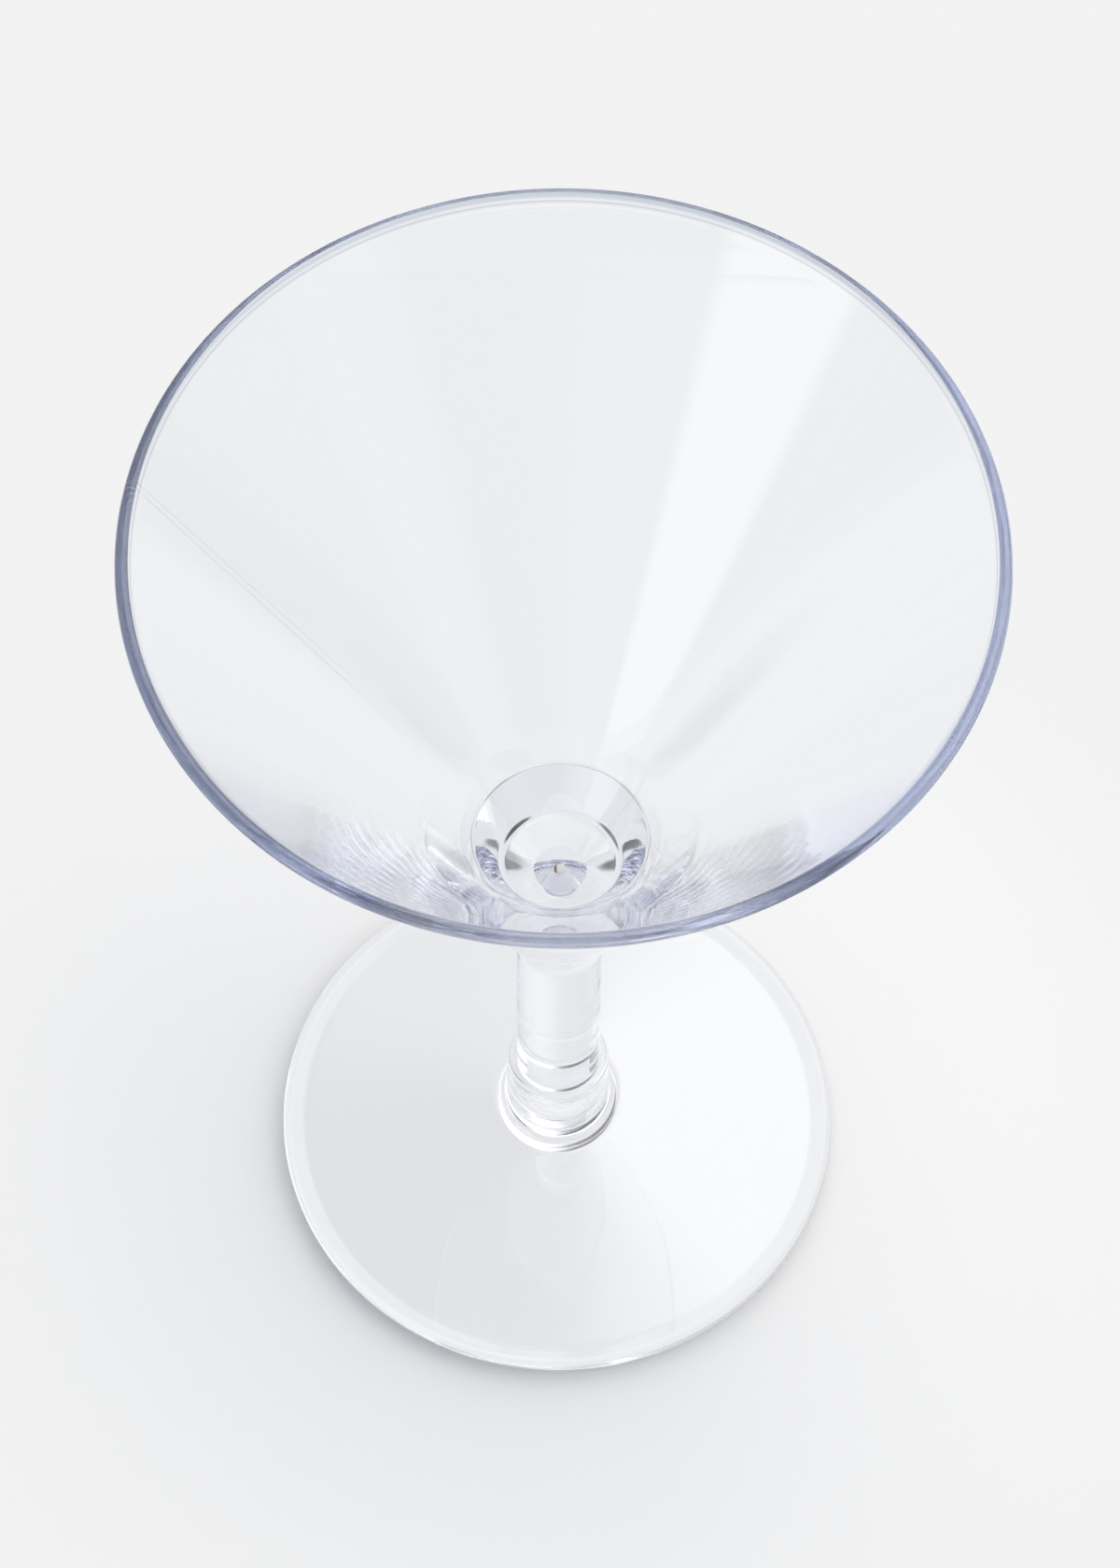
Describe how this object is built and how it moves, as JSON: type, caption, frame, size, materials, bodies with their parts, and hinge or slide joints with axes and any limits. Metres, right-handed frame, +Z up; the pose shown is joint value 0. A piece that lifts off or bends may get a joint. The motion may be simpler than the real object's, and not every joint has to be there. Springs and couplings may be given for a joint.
{
  "type": "plastic martini glass",
  "caption": "Clear plastic cocktail glass with a wide conical bowl on a solid stem that plugs into a round domed foot.",
  "frame": {"origin": "on the table, under the axis of the stem", "axes": "+Z up along the stem's axis, towards the rim; +Y away from the viewer"},
  "size_m": [0.102, 0.102, 0.1515],
  "materials": {
    "clear_bowl": "clear gloss",
    "clear_foot": "clear gloss"
  },
  "bodies": {
    "foot": {"foot": "clear_foot"},
    "bowl": {"bowl_with_stem": "clear_bowl"}
  },
  "joints": [
    {"name": "stem_pull_out", "type": "slide", "parent": "foot", "child": "bowl", "axis": [0, 0, 1], "range_m": [0, 0.018]}
  ]
}
